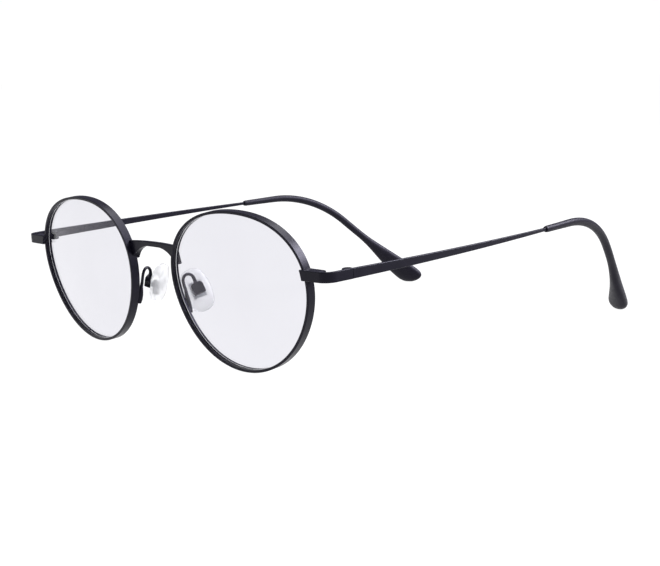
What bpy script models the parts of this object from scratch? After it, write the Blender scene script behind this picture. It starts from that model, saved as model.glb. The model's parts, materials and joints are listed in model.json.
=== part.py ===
"""Round wire eyeglasses.

The design is drawn in the wearing frame, in millimetres: X to the wearer's left, Y back along the
temples, Z up, with the optical axis height at Z = 0 and the rims' front near Y = 0. Every left-hand
piece is modelled once and mirrored across X = 0. At the end a stand empty tips the whole pair so that
the rims and both temple ends rest on Z = 0, and puts the origin under the middle of the bounding box.
"""
import math

import bmesh
import bpy
from mathutils import Matrix, Vector

MM = 0.001
OBJECT_NAME = "eyeglasses"

# Rims: outer half sizes of the front outline, and its harmonics (a soft, full-topped round)
RIM_A = 24.75
RIM_B = 20.7
HARMONIC_COS3 = 0.005
HARMONIC_SIN3 = 0.034
HARMONIC_COS4 = -0.006
RIM_STEPS = 72
RIM_DEPTH = 2.4
RIM_FACE = 0.72
RIM_GROOVE = 0.3
RIM_EDGE = 0.1
RIM_CENTRE_X = 33.64
WRAP_DEG = 4.2
PANTO_DEG = 3.8
SLIT = 0.16

# Lenses
LENS_FIT = 0.05
LENS_THICK = 0.7
LENS_BULGE = 1.3

# Bridge: half span, heights and depths from the middle to the ends
BRIDGE_HALF = 10.35
BRIDGE_TOP_Z = 9.62
BRIDGE_HEIGHT = 1.3
BRIDGE_FOOT_HEIGHT = 4.7
BRIDGE_FLARE_START = 2.2
BRIDGE_DEPTH = 1.4
BRIDGE_BOW = 0.9

# End piece: a flat bar over the rim's front, bent back to the hinge
BAR_THICK = 0.9
END_HEIGHT = 2.6
END_INNER_X = 55.5
END_FRONT_Y = 0.4
END_Z = 5.74
END_BEND_R = 3.3

# Hinge
SEAM_S = 2.6
SEAM_GAP = 0.06
HINGE_INSET = 1.62
HINGE_SET_BACK = 0.25
HINGE_R = 1.3
HINGE_Z = (4.4, 5.25, 6.15, 6.9)
HINGE_CLEAR = 0.06
KNUCKLE_EDGE = 0.28
HINGE_PIN_R = 0.5
HINGE_LEAF = 3.6

# Closing block at the rim's temporal side
LOCK_X = (58.75, 62.9)
LOCK_Y = (1.45, 3.95)
LOCK_Z = (4.4, 5.6, 7.05)
LOCK_EDGE = 0.35
LOCK_SCREW = (61.0, 2.85)
LOCK_SCREW_R = 0.36
LOCK_HEAD_R = 0.55

# Nose pads
PAD_CENTRE = (8.8, 6.5, -3.4)
PAD_AXIS = (-0.43, -0.11, 0.90)
PAD_FACE = (-0.90, 0.42, 0.0)
PAD_LENGTH = 11.9
PAD_WIDTH = 7.6
PAD_THICK = 3.0
PLATE_SIZE = (3.4, 4.4, 0.7)
BOX_SIZE = (3.2, 3.1, 1.9)
BOX_CROWN = 0.9
BOX_GAP = 0.25
BOX_OFFSET = -(PAD_THICK / 2.0 + BOX_SIZE[2] / 2.0 + BOX_GAP)
STEM_SIZE = (1.7, 1.3)
STEM_PLAY = 0.9
PAD_PIN_R = 0.4
PAD_PIN_CLEAR = 0.06
ARM_R = 0.42

# Temples: start of the outer face at the end of the end piece, then how the path turns (degrees per
# 100 mm for the three TURN values and the LIFT)
TEMPLE_START = (66.75, 6.1, 5.82)
TEMPLE_OUT_DEG = 3.15
TEMPLE_RISE_DEG = 0.2
TEMPLE_TURN = 13.0
TEMPLE_END_TURN = 38.3
EAR_S = 87.45
EAR_R = 37.95
EAR_DEG = 43.35
TAIL = 33.5
TAIL_TURN = -3.9
TAIL_LIFT = 8.1
TIP_S = 75.6
BAR_HEIGHT = (2.6, 0.88)
BAR_THICK_END = 0.8
BAR_EDGE = 0.16
CORE_R = 0.4
CORE_LENGTH = 52.0
SLEEVE_R = (0.92, 1.18)
SLEEVE_MOUTH = 3.0
PADDLE_SIZE = (7.76, 4.73)
PADDLE_TWIST_DEG = 37.3
PADDLE_SPREAD = (0.645, 0.355)
PADDLE_BLUNT = 0.944
PADDLE_CORNER = 2.6
PADDLE_LEAN = 0.6
PADDLE_SLANT = -0.47

# Clearance that stands for a brazed or fixed joint
GAP = 0.05

# Colours as linear RGB, with roughness and metallic value
METAL = ((0.018, 0.017, 0.022), 0.38, 0.9)
FITTING = ((0.05, 0.05, 0.06), 0.35, 1.0)
TIP_PLASTIC = ((0.022, 0.021, 0.028), 0.5, 0.0)
SILICONE = ((0.86, 0.87, 0.88), 0.35, 0.0)
INSERT_PLASTIC = ((0.55, 0.56, 0.58), 0.4, 0.0)
GLASS = ((0.92, 0.92, 0.95), 0.03, 0.0)


def clear_scene():
    """Remove whatever the file holds before the model is made."""
    for ob in list(bpy.data.objects):
        bpy.data.objects.remove(ob, do_unlink=True)


def make_collection(name):
    collection = bpy.data.collections.new(name)
    bpy.context.scene.collection.children.link(collection)
    return collection


def make_material(name, look):
    """A Principled material from (linear colour, roughness, metallic)."""
    material = bpy.data.materials.new(name)
    material.use_nodes = True
    shader = material.node_tree.nodes["Principled BSDF"]
    shader.inputs["Base Color"].default_value = (*look[0], 1.0)
    shader.inputs["Roughness"].default_value = look[1]
    shader.inputs["Metallic"].default_value = look[2]
    return material


def add_object(name, bm, collection=None):
    """Turn a bmesh, drawn in millimetres in the wearing frame, into an object in metres."""
    bmesh.ops.scale(bm, vec=(MM, MM, MM), verts=bm.verts)
    bmesh.ops.recalc_face_normals(bm, faces=bm.faces)
    mesh = bpy.data.meshes.new(name)
    bm.to_mesh(mesh)
    bm.free()
    ob = bpy.data.objects.new(name, mesh)
    (collection or PARTS).objects.link(ob)
    return ob


def smooth(ob, degrees=35.0):
    ob.data.shade_smooth()
    ob.data.set_sharp_from_angle(angle=math.radians(degrees))


def finish_pair(left, base, look, joint_empties=None):
    """Name, shade and colour a left-hand piece and its mirror image."""
    apply_modifiers(left)
    left.name = f"{base}_left"
    left.data.name = left.name
    right_mesh = left.data.copy()
    right_mesh.transform(Matrix.Scale(-1.0, 4, Vector((1.0, 0.0, 0.0))))
    right_mesh.flip_normals()
    right = bpy.data.objects.new(f"{base}_right", right_mesh)
    PARTS.objects.link(right)
    for ob, side in ((left, "left"), (right, "right")):
        ob.data.materials.clear()
        ob.data.materials.append(make_material(ob.name, look))
        smooth(ob)
        put_under(ob, joint_empties[side] if joint_empties else STAND)


def put_under(ob, parent):
    """Parent an object to an empty and move its mesh so that it stays where it was drawn."""
    ob.parent = parent
    if parent is not STAND:
        ob.data.transform(Matrix.Translation(-parent.location))


def apply_modifiers(ob):
    depsgraph = bpy.context.evaluated_depsgraph_get()
    mesh = bpy.data.meshes.new_from_object(ob.evaluated_get(depsgraph))
    ob.modifiers.clear()
    ob.data = mesh


def bevel(ob, width, segments=1, angle=40.0):
    modifier = ob.modifiers.new("Bevel", "BEVEL")
    modifier.width = width * MM
    modifier.segments = segments
    modifier.limit_method = "ANGLE"
    modifier.angle_limit = math.radians(angle)


def boolean(ob, other, operation):
    """Cut or join another object into this one, and keep the other as a hidden cutter."""
    modifier = ob.modifiers.new("Boolean", "BOOLEAN")
    modifier.operation = operation
    modifier.solver = "EXACT"
    modifier.object = other
    other.hide_render = True
    other.display_type = "WIRE"
    for collection in list(other.users_collection):
        collection.objects.unlink(other)
    CUTTERS.objects.link(other)
    apply_modifiers(ob)


def box(name, low, high):
    """An axis-aligned box between two corners."""
    bm = bmesh.new()
    bmesh.ops.create_cube(bm, size=1.0)
    size = [h - l for l, h in zip(low, high)]
    centre = [(h + l) / 2.0 for l, h in zip(low, high)]
    bmesh.ops.scale(bm, vec=size, verts=bm.verts)
    bmesh.ops.translate(bm, vec=centre, verts=bm.verts)
    return add_object(name, bm)


def rod(name, centre, axis, radius, length, segments=20):
    """A cylinder about its centre, along an axis."""
    bm = bmesh.new()
    bmesh.ops.create_cone(bm, cap_ends=True, segments=segments, radius1=radius, radius2=radius, depth=length)
    turn = Vector((0.0, 0.0, 1.0)).rotation_difference(Vector(axis)).to_matrix().to_4x4()
    bmesh.ops.transform(bm, matrix=Matrix.Translation(centre) @ turn, verts=bm.verts)
    return add_object(name, bm)


def turned(name, foot, axis, profile, segments=16):
    """A turned piece: a profile of (radius, height) points, outer side first, spun about an axis."""
    bm = bmesh.new()
    verts = [bm.verts.new((radius * MM, 0.0, height * MM)) for radius, height in profile]
    for start, end in zip(verts, verts[1:]):
        bm.edges.new((start, end))
    mesh = bpy.data.meshes.new(name)
    bm.to_mesh(mesh)
    bm.free()
    ob = bpy.data.objects.new(name, mesh)
    PARTS.objects.link(ob)
    screw = ob.modifiers.new("Screw", "SCREW")
    screw.steps = segments
    screw.render_steps = segments
    screw.use_merge_vertices = True
    screw.merge_threshold = 0.00001
    apply_modifiers(ob)
    turn = Vector((0.0, 0.0, 1.0)).rotation_difference(Vector(axis)).to_matrix().to_4x4()
    ob.data.transform(Matrix.Translation(Vector(foot) * MM) @ turn)
    return ob


def slotted_screw(name, foot, axis, shank_r, shank, head_r, head, slot):
    """A small screw standing on its foot: shank, countersunk rim, domed head and a driver slot."""
    top = shank + head
    profile = [(0.0, top), (head_r * 0.8, top - 0.04), (head_r, top - 0.14), (head_r, shank),
               (shank_r, shank), (shank_r, 0.08), (shank_r - 0.08, 0.0), (0.0, 0.0)]
    screw = turned(name, foot, axis, profile)
    direction = Vector(axis).normalized()
    side = direction.orthogonal().normalized()
    across = direction.cross(side)
    bm = bmesh.new()
    bmesh.ops.create_cube(bm, size=1.0)
    bmesh.ops.scale(bm, vec=(head_r * 3.0, slot, 0.44), verts=bm.verts)
    frame = Matrix((side, across, direction)).transposed().to_4x4()
    centre = Vector(foot) + direction * top
    bmesh.ops.transform(bm, matrix=Matrix.Translation(centre) @ frame, verts=bm.verts)
    boolean(screw, add_object(name + "_slot", bm), "DIFFERENCE")
    return screw


def skin_rings(bm, rings, close_ends=True):
    """Join rings of equal point counts into a tube, with flat ends."""
    rows = [[bm.verts.new(point) for point in ring] for ring in rings]
    count = len(rows[0])
    for row, following in zip(rows, rows[1:]):
        for i in range(count):
            j = (i + 1) % count
            bm.faces.new((row[i], row[j], following[j], following[i]))
    if close_ends:
        bm.faces.new(list(reversed(rows[0])))
        bm.faces.new(rows[-1])
    return rows


# ---- rims and lenses -------------------------------------------------------------------------

def rim_point(angle, inset=0.0):
    """Outline point (outward, up) in the rim's own plane, moved inward by an inset."""
    def outline(t):
        swell = (1.0 + HARMONIC_COS3 * math.cos(3.0 * t) + HARMONIC_SIN3 * math.sin(3.0 * t)
                 + HARMONIC_COS4 * math.cos(4.0 * t))
        return Vector((RIM_A * math.cos(t) * swell, RIM_B * math.sin(t) * swell))
    step = 0.001
    along = (outline(angle + step) - outline(angle - step)).normalized()
    return outline(angle) + Vector((-along.y, along.x)) * inset


def rim_matrix():
    """Place the left rim's plane (outward, depth, up) in the wearing frame."""
    wrap = Matrix.Rotation(math.radians(WRAP_DEG), 4, "Z")
    tilt = Matrix.Rotation(math.radians(PANTO_DEG), 4, "X")
    return tilt @ Matrix.Translation((RIM_CENTRE_X, 0.0, 0.0)) @ wrap


def rim_tube(name, section):
    """Carry a section of (inset, depth) points round the left rim's outline."""
    bm = bmesh.new()
    rings = []
    for i in range(RIM_STEPS):
        angle = 2.0 * math.pi * i / RIM_STEPS
        points = [(*rim_point(angle, inset), depth) for inset, depth in section]
        rings.append([bm.verts.new((x, depth, z)) for x, z, depth in points])
    for ring, following in zip(rings, rings[1:] + rings[:1]):
        for i in range(len(section)):
            j = (i + 1) % len(section)
            bm.faces.new((ring[i], ring[j], following[j], following[i]))
    bmesh.ops.transform(bm, matrix=rim_matrix(), verts=bm.verts)
    return add_object(name, bm)


def rim_section():
    """The rim's section: chamfered outside, with a V groove for the lens inside."""
    middle = RIM_DEPTH / 2.0
    lip = RIM_FACE - RIM_EDGE / 2.0
    return [(RIM_EDGE, 0.0), (0.0, RIM_EDGE), (0.0, RIM_DEPTH - RIM_EDGE), (RIM_EDGE, RIM_DEPTH),
            (lip, RIM_DEPTH), (RIM_FACE, RIM_DEPTH - RIM_EDGE), (RIM_FACE, middle + RIM_GROOVE),
            (RIM_FACE - RIM_GROOVE, middle), (RIM_FACE, middle - RIM_GROOVE), (RIM_FACE, RIM_EDGE),
            (lip, 0.0)]


def make_rims():
    rim = rim_tube("rim", rim_section())
    middle = LOCK_Z[1]
    slit = box("rim_slit", (55.0, -2.0, middle - SLIT / 2.0), (61.0, 6.0, middle + SLIT / 2.0))
    boolean(rim, slit, "DIFFERENCE")
    finish_pair(rim, "rim", METAL)


def make_lenses():
    """A meniscus with its edge bevelled to sit in the rim's groove."""
    groove_inset = RIM_FACE - RIM_GROOVE + LENS_FIT * 1.5
    face_inset = RIM_FACE + LENS_FIT
    middle = RIM_DEPTH / 2.0
    half = RIM_GROOVE * 0.8
    bm = bmesh.new()

    def ring(scale, depth, inset=face_inset):
        points = []
        for i in range(RIM_STEPS):
            edge = rim_point(2.0 * math.pi * i / RIM_STEPS, inset)
            points.append((edge.x * scale, depth, edge.y * scale))
        return points

    levels = (1.0, 0.72, 0.38)
    front = [ring(k, middle - half - LENS_BULGE * (1.0 - k * k)) for k in reversed(levels)]
    back = [ring(k, middle - half + LENS_THICK - LENS_BULGE * (1.0 - k * k)) for k in levels]
    bevel_ring = ring(1.0, middle, groove_inset)
    rear_shoulder = ring(1.0, middle + half)
    rows = skin_rings(bm, front + [bevel_ring, rear_shoulder] + back, close_ends=False)
    pole = middle - half - LENS_BULGE
    for row, depth in ((rows[0], pole), (rows[-1], pole + LENS_THICK)):
        hub = bm.verts.new((0.0, depth, 0.0))
        for i in range(RIM_STEPS):
            bm.faces.new((row[i], row[(i + 1) % RIM_STEPS], hub))
    bmesh.ops.transform(bm, matrix=rim_matrix(), verts=bm.verts)
    lens = add_object("lens", bm)
    finish_pair(lens, "lens", GLASS)


def rim_clearance(gap, behind=4.0):
    """The left rim's solid and its lens opening, to trim what is brazed to the rim's outside."""
    back = RIM_DEPTH + gap
    steps = ((-4.0, RIM_FACE), (-gap, RIM_FACE), (-gap, -gap),
             (back, -gap), (back, RIM_FACE), (back + behind, RIM_FACE))
    bm = bmesh.new()
    rings = []
    for depth, inset in steps:
        ring = []
        for i in range(RIM_STEPS):
            edge = rim_point(2.0 * math.pi * i / RIM_STEPS, inset)
            ring.append((edge.x, depth, edge.y))
        rings.append(ring)
    skin_rings(bm, rings)
    bmesh.ops.transform(bm, matrix=rim_matrix(), verts=bm.verts)
    return add_object("rim_clearance", bm)


# ---- bridge ----------------------------------------------------------------------------------

def make_bridge():
    """A flat arched bar whose ends flare down and back on to the rims' nasal sides."""
    stations = 28
    edge = 0.22
    rings = []
    for i in range(stations + 1):
        side = 2.0 * i / stations - 1.0
        end = abs(side) ** 3.0
        top_x = (BRIDGE_HALF + 0.6) * side
        foot_x = top_x - 1.05 * end * side
        flare = max(0.0, abs(top_x) - BRIDGE_FLARE_START) / (BRIDGE_HALF - BRIDGE_FLARE_START)
        top = BRIDGE_TOP_Z - 0.28 * side * side
        low = top - BRIDGE_HEIGHT - (BRIDGE_FOOT_HEIGHT - BRIDGE_HEIGHT) * min(flare, 1.05) ** 2.0
        front = -BRIDGE_BOW
        top_back = front + BRIDGE_DEPTH - 0.75 * end
        foot_back = front + BRIDGE_DEPTH + 1.1 * side * side
        rings.append([(top_x, front + edge, top), (top_x, top_back - edge, top),
                      (top_x, top_back, top - edge),
                      (foot_x, foot_back, low + edge), (foot_x, foot_back - edge, low),
                      (foot_x, front + edge, low), (foot_x, front, low + edge),
                      (top_x, front, top - edge)])
    bm = bmesh.new()
    skin_rings(bm, rings)
    bridge = add_object("bridge", bm)
    trim = rim_clearance(GAP)
    boolean(bridge, trim, "DIFFERENCE")
    mirror_trim = bpy.data.objects.new("rim_clearance_right", trim.data.copy())
    mirror_trim.data.transform(Matrix.Scale(-1.0, 4, Vector((1.0, 0.0, 0.0))))
    mirror_trim.data.flip_normals()
    PARTS.objects.link(mirror_trim)
    boolean(bridge, mirror_trim, "DIFFERENCE")
    bridge.name = "bridge"
    bridge.data.materials.append(make_material("bridge", METAL))
    smooth(bridge)
    put_under(bridge, STAND)


# ---- temple path -----------------------------------------------------------------------------

def temple_frame(distance):
    """Position on the left temple's outer face and its turn angles at a distance along it."""
    position = Vector(TEMPLE_START)
    steps = max(1, int(math.ceil(abs(distance) / 0.5)))
    step = distance / steps
    for i in range(steps):
        inward, down = temple_turn((i + 0.5) * step)
        position += direction_of(inward, down) * step
    return position, temple_turn(distance)


def temple_turn(distance):
    """Inward and downward angles of the temple at a distance along it, in radians."""
    arc = EAR_R * math.radians(EAR_DEG)
    past_ear = max(distance - EAR_S, 0.0)
    past_bend = max(past_ear - arc, 0.0)
    turn = TEMPLE_TURN * distance + TEMPLE_END_TURN * past_ear + TAIL_TURN * past_bend
    inward = -TEMPLE_OUT_DEG + turn / 100.0
    down = -TEMPLE_RISE_DEG + EAR_DEG * min(past_ear / arc, 1.0) - TAIL_LIFT * past_bend / 100.0
    return math.radians(inward), math.radians(down)


def direction_of(inward, down):
    return Vector((-math.sin(inward) * math.cos(down), math.cos(inward) * math.cos(down), -math.sin(down)))


def temple_axes(distance):
    """Origin on the outer face, and unit vectors along, inward (across) and up at a distance."""
    position, (inward, down) = temple_frame(distance)
    along = direction_of(inward, down)
    across = Vector((-math.cos(inward), -math.sin(inward), 0.0))
    up = along.cross(across) * -1.0
    return position, along, across, up


def temple_length():
    return EAR_S + EAR_R * math.radians(EAR_DEG) + TAIL


def bar_section(distance, height, thick):
    """Eight-sided bar section, measured in from the temple's outer face."""
    origin, _, across, up = temple_axes(distance)
    edge = BAR_EDGE
    half = height / 2.0
    corners = [(edge, half), (thick - edge, half), (thick, half - edge), (thick, edge - half),
               (thick - edge, -half), (edge, -half), (0.0, edge - half), (0.0, half - edge)]
    return [origin + across * a + up * b for a, b in corners]


def round_section(distance, radius_across, radius_up, sides=12, widen=0.0):
    """An oval section about the core wire's line, which twists, leans up and slants as the paddle widens."""
    origin, along, across, up = temple_axes(distance)
    twist = math.radians(PADDLE_TWIST_DEG) * widen
    long_way = up * math.cos(twist) - across * math.sin(twist)
    short_way = across * math.cos(twist) + up * math.sin(twist)
    centre = origin + across * (BAR_THICK_END / 2.0) + long_way * (PADDLE_LEAN * widen)
    slanted = long_way + along * (PADDLE_SLANT * widen)
    ring = []
    for i in range(sides):
        angle = 2.0 * math.pi * i / sides
        ring.append(centre + short_way * (math.cos(angle) * radius_across)
                    + slanted * (math.sin(angle) * radius_up))
    return ring


def bar_thickness(distance):
    share = min(max(distance / TIP_S, 0.0), 1.0)
    return BAR_THICK + (BAR_THICK_END - BAR_THICK) * share


def make_temple_bars():
    """A flat bar, taller at the hinge, ending in a round core wire inside the tip."""
    rings = []
    start = SEAM_S + SEAM_GAP
    bar_end = TIP_S + 1.2
    stations = 20
    for i in range(stations + 1):
        s = start + (bar_end - start) * i / stations
        share = s / TIP_S
        height = BAR_HEIGHT[0] + (BAR_HEIGHT[1] - BAR_HEIGHT[0]) * share
        rings.append(bar_section(s, height, bar_thickness(s)))
    core_stations = 14
    for i in range(core_stations + 1):
        s = bar_end + 0.3 + (CORE_LENGTH - 0.3) * i / core_stations
        ring = round_section(s, CORE_R, CORE_R, sides=8)
        rings.append([ring[(3 - k) % 8] for k in range(8)])
    bm = bmesh.new()
    skin_rings(bm, rings)
    bar = add_object("temple_bar", bm)
    finish_pair(bar, "temple_bar", METAL, TEMPLE_PIVOTS)


def smooth_step(value):
    value = min(max(value, 0.0), 1.0)
    return value * value * (3.0 - 2.0 * value)


def make_temple_tips():
    """A slim sleeve that bends over the ear and widens to a flat paddle, bored for the core wire."""
    outer = []
    length = temple_length()
    stations = 30
    for i in range(stations + 1):
        share = i / stations
        if share > 0.9:
            share = 1.0 - (1.0 - share) ** 1.6 / 0.1 ** 0.6
        s = TIP_S + (length - TIP_S) * share
        thicken = smooth_step(share / 0.35)
        widen = smooth_step((share - PADDLE_SPREAD[0]) / PADDLE_SPREAD[1])
        sleeve = (SLEEVE_R[0] + (SLEEVE_R[1] - SLEEVE_R[0]) * thicken) * min(1.0, 0.86 + share * 9.0)
        up = sleeve + (PADDLE_SIZE[0] / 2.0 - sleeve) * widen
        across = sleeve + (PADDLE_SIZE[1] / 2.0 - sleeve) * widen
        blunt = max(0.0, (share - PADDLE_BLUNT) / (1.0 - PADDLE_BLUNT))
        rounding = (1.0 - (blunt * 0.985) ** PADDLE_CORNER) ** (1.0 / PADDLE_CORNER)
        outer.append(round_section(s, across * rounding, up * rounding, widen=widen))
    bore = []
    bore_end = TIP_S + 1.2 + CORE_LENGTH + 0.3
    bore_stations = 15
    mouth = BAR_HEIGHT[1] / 2.0 + 0.14
    for i in range(bore_stations + 1):
        share = i / bore_stations
        s = TIP_S + (bore_end - TIP_S) * share
        radius = mouth if s < TIP_S + SLEEVE_MOUTH else CORE_R + 0.09
        bore.append(round_section(s, radius, radius))
    bm = bmesh.new()
    skin_rings(bm, list(reversed(outer)) + bore)
    tip = add_object("temple_tip", bm)
    finish_pair(tip, "temple_tip", TIP_PLASTIC, TEMPLE_PIVOTS)


# ---- end pieces, closing blocks and hinges ---------------------------------------------------

def end_piece_outline():
    """Plan points of the end piece's outer face, from the rim's front round to the hinge seam."""
    points = [Vector((END_INNER_X, END_FRONT_Y - 0.05))]
    start = Vector(TEMPLE_START)
    side_x = start.x - 0.12
    centre = Vector((side_x - END_BEND_R, END_FRONT_Y + 0.3 + END_BEND_R))
    steps = 12
    for i in range(steps + 1):
        angle = math.radians(-86.0 + (86.0 - TEMPLE_OUT_DEG) * i / steps)
        points.append(centre + Vector((math.cos(angle), math.sin(angle))) * END_BEND_R)
    seam = temple_frame(SEAM_S)[0]
    points.append(Vector((seam.x, seam.y)))
    return points


def offset_inward(points, distance):
    """Move an open plan outline to its left by a distance, towards the inside of the bend."""
    moved = []
    for i, point in enumerate(points):
        before = points[max(i - 1, 0)]
        after = points[min(i + 1, len(points) - 1)]
        along = (after - before).normalized()
        moved.append(point + Vector((-along.y, along.x)) * distance)
    return moved


def bent_plate(name, outside, inside, height):
    """The end piece's plan outline between two insets, filled and extruded to a height."""
    outer = offset_inward(end_piece_outline(), outside)
    inner = offset_inward(end_piece_outline(), inside)
    curve = bpy.data.curves.new(name, "CURVE")
    curve.dimensions = "2D"
    curve.fill_mode = "BOTH"
    curve.extrude = height / 2.0 * MM
    spline = curve.splines.new("POLY")
    outline = outer + list(reversed(inner))
    spline.points.add(len(outline) - 1)
    for point, place in zip(spline.points, outline):
        point.co = (place.x * MM, place.y * MM, 0.0, 1.0)
    spline.use_cyclic_u = True
    guide = bpy.data.objects.new(name + "_outline", curve)
    PARTS.objects.link(guide)
    plate = mesh_from_curve(guide, name)
    plate.data.transform(Matrix.Translation((0.0, 0.0, END_Z * MM)))
    return plate


def make_end_pieces():
    """A flat bar, rounded along its edges and trimmed to lie on the rim's front."""
    end_piece = bent_plate("end_piece", 0.0, BAR_THICK, END_HEIGHT)
    shear_towards_seam(end_piece)
    bevel(end_piece, 0.18, segments=2)
    apply_modifiers(end_piece)
    boolean(end_piece, rim_clearance(GAP), "DIFFERENCE")
    finish_pair(end_piece, "end_piece", METAL)


def shear_towards_seam(ob):
    """Raise and slim the bar a little towards the hinge so that it meets the temple's section."""
    seam = temple_frame(SEAM_S)[0]
    for vert in ob.data.vertices:
        share = min(max((vert.co.y / MM - END_FRONT_Y) / (seam.y - END_FRONT_Y), 0.0), 1.0)
        middle = END_Z + (seam.z - END_Z) * share
        slim = 1.0 + (BAR_HEIGHT[0] / END_HEIGHT - 1.0) * share
        vert.co.z = (middle + (vert.co.z / MM - END_Z) * slim) * MM


def mesh_from_curve(guide, name):
    """Replace a curve object with its mesh, caps welded."""
    depsgraph = bpy.context.evaluated_depsgraph_get()
    mesh = bpy.data.meshes.new_from_object(guide.evaluated_get(depsgraph))
    bm = bmesh.new()
    bm.from_mesh(mesh)
    bmesh.ops.remove_doubles(bm, verts=bm.verts, dist=0.000002)
    bmesh.ops.recalc_face_normals(bm, faces=bm.faces)
    bm.to_mesh(mesh)
    bm.free()
    ob = bpy.data.objects.new(name, mesh)
    ob.matrix_world = guide.matrix_world
    PARTS.objects.link(ob)
    bpy.data.objects.remove(guide, do_unlink=True)
    return ob


def make_rim_locks():
    """Two block halves outside the rim's slit, drilled for the closing screw."""
    for half, low, high, hole in (
            ("upper", LOCK_Z[1] + SLIT / 2.0, LOCK_Z[2], LOCK_SCREW_R + 0.08),
            ("lower", LOCK_Z[0], LOCK_Z[1] - SLIT / 2.0, LOCK_SCREW_R + 0.03)):
        block = box(f"lock_{half}", (LOCK_X[0] - 2.0, LOCK_Y[0], low), (LOCK_X[1], LOCK_Y[1], high))
        bevel(block, LOCK_EDGE, segments=2)
        apply_modifiers(block)
        boolean(block, rod("lock_hole", (*LOCK_SCREW, END_Z), (0.0, 0.0, 1.0), hole, 8.0), "DIFFERENCE")
        if half == "upper":
            sink = rod("lock_sink", (*LOCK_SCREW, LOCK_Z[2]), (0.0, 0.0, 1.0), LOCK_HEAD_R + 0.06, 1.0)
            boolean(block, sink, "DIFFERENCE")
        boolean(block, rim_clearance(GAP), "DIFFERENCE")
        boolean(block, bent_plate("plate_clearance", -2.0, BAR_THICK + GAP, 6.0), "DIFFERENCE")
        finish_pair(block, f"rim_lock_{half}", METAL)
    foot = (*LOCK_SCREW, LOCK_Z[0] + 0.1)
    shank = LOCK_Z[2] - 0.5 + GAP - foot[2]
    screw = slotted_screw("rim_lock_screw", foot, (0.0, 0.0, 1.0), LOCK_SCREW_R, shank,
                          LOCK_HEAD_R, 0.4, 0.22)
    finish_pair(screw, "rim_lock_screw", FITTING)


def hinge_axis():
    """Plan position of the left hinge's pin, inboard of the temple at the seam."""
    seam, _, across, _ = temple_axes(SEAM_S)
    pin = seam + across * (BAR_THICK + HINGE_INSET)
    return pin.x, pin.y + HINGE_SET_BACK


def plan_block(name, start, end, inner, outer, low, high):
    """A block along the temple's inside face, from one distance to another, between two insets."""
    bm = bmesh.new()
    rings = []
    for s in (start, end):
        origin, _, across, _ = temple_axes(s)
        rings.append([(*(origin + across * a).xy, z)
                      for a, z in ((outer, low), (outer, high), (inner, high), (inner, low))])
    skin_rings(bm, rings)
    return add_object(name, bm)


def make_hinges():
    """Three-knuckle hinges: two knuckles on the end piece, one on the temple, and the screw."""
    x, y = hinge_axis()
    base, lower, upper, top = HINGE_Z
    up = (0.0, 0.0, 1.0)
    face = BAR_THICK + GAP
    inside = BAR_THICK + HINGE_INSET

    front = plan_block("hinge_front", SEAM_S - HINGE_LEAF, SEAM_S - 0.1, inside + 0.45, face,
                       base + 0.35, top - 0.5)
    for low, high in ((base, lower), (upper, top)):
        knuckle = rod("knuckle", (x, y, (low + high) / 2.0), up, HINGE_R, high - low)
        bevel(knuckle, KNUCKLE_EDGE, segments=2)
        apply_modifiers(knuckle)
        boolean(front, knuckle, "UNION")
    middle = (lower + upper) / 2.0
    relief = rod("knuckle_relief", (x, y, middle), up, HINGE_R + 0.16, upper - lower)
    boolean(front, relief, "DIFFERENCE")
    boolean(front, rod("pin_hole", (x, y, middle), up, HINGE_PIN_R + HINGE_CLEAR, 8.0), "DIFFERENCE")
    sink = rod("head_sink", (x, y, top), up, 0.95, 0.7)
    boolean(front, sink, "DIFFERENCE")
    finish_pair(front, "hinge_front", METAL)

    rear = plan_block("hinge_rear", SEAM_S + 0.3, SEAM_S + HINGE_LEAF + 0.6, inside + 0.2, face,
                      lower + HINGE_CLEAR, upper - HINGE_CLEAR)
    leaf = plan_block("hinge_leaf", SEAM_S + 1.9, SEAM_S + HINGE_LEAF + 0.9, inside - 0.75, face,
                      base + 0.55, top - 0.65)
    boolean(rear, leaf, "UNION")
    knuckle = rod("knuckle", (x, y, middle), up, HINGE_R, upper - lower - 2.0 * HINGE_CLEAR)
    boolean(rear, knuckle, "UNION")
    boolean(rear, rod("pin_hole", (x, y, middle), up, HINGE_PIN_R + HINGE_CLEAR, 8.0), "DIFFERENCE")
    finish_pair(rear, "hinge_rear", METAL, TEMPLE_PIVOTS)

    foot = (x, y, base + 0.05)
    shank = top - 0.35 + GAP - foot[2]
    screw = slotted_screw("hinge_screw", foot, up, HINGE_PIN_R, shank, 0.88, 0.36, 0.24)
    finish_pair(screw, "hinge_screw", FITTING)


# ---- nose pads -------------------------------------------------------------------------------

def pad_axes():
    """Unit vectors of the left pad: along its length, across its width, out of its nose face."""
    length = Vector(PAD_AXIS).normalized()
    face = Vector(PAD_FACE)
    face = (face - length * face.dot(length)).normalized()
    return length, length.cross(face), face


def pad_matrix(offset=0.0):
    """Place a pad piece drawn with X along its width, Y out of its nose face and Z up its length."""
    length, width, face = pad_axes()
    matrix = Matrix((width, face, length)).transposed().to_4x4()
    matrix.translation = Vector(PAD_CENTRE) + face * offset
    return matrix


def pad_box_centre():
    return pad_matrix(BOX_OFFSET).translation


def pad_box_object(name, size, offset):
    """A box of (width, length, depth) at an offset behind the pad's middle."""
    bm = bmesh.new()
    bmesh.ops.create_cube(bm, size=1.0)
    bmesh.ops.scale(bm, vec=(size[0], size[2], size[1]), verts=bm.verts)
    bmesh.ops.transform(bm, matrix=pad_matrix(offset), verts=bm.verts)
    return add_object(name, bm)


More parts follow.
